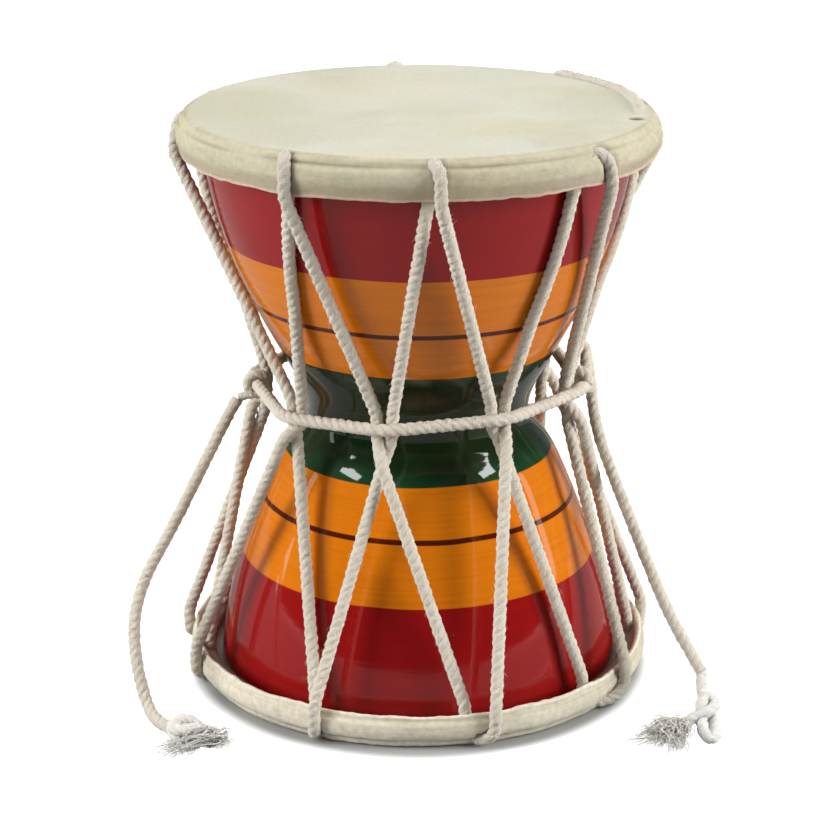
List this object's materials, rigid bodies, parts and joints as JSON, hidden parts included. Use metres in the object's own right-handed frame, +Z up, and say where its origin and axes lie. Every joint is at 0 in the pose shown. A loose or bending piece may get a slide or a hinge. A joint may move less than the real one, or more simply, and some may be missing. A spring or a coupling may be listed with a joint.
{
  "type": "damaru hand drum",
  "caption": "Hourglass hand drum with a lacquered wooden shell, two laced rawhide heads, a waist belt rope and knotted cord strikers, standing on its lower head.",
  "frame": {"origin": "on the floor under the drum's axis, at the middle of the lower head", "axes": "+Z up along the drum's axis, front of the drum towards -Y, +X to the right seen from the front"},
  "size_m": [0.1501, 0.1276, 0.1515],
  "materials": {
    "lacquer": "turned wood under glossy lacquer in bands of red, orange and dark green",
    "rawhide": "dried cream rawhide, matt, wrinkled at the rim",
    "rope": "twisted off-white cotton rope"
  },
  "bodies": {
    "root": {"shell": "lacquer", "top_head": "rawhide", "bottom_head": "rawhide", "lacing": "rope", "belt": "rope", "striker_cord_left": "rope", "striker_cord_right": "rope", "striker_knot_left": "rope", "striker_knot_right": "rope"}
  },
  "joints": []
}
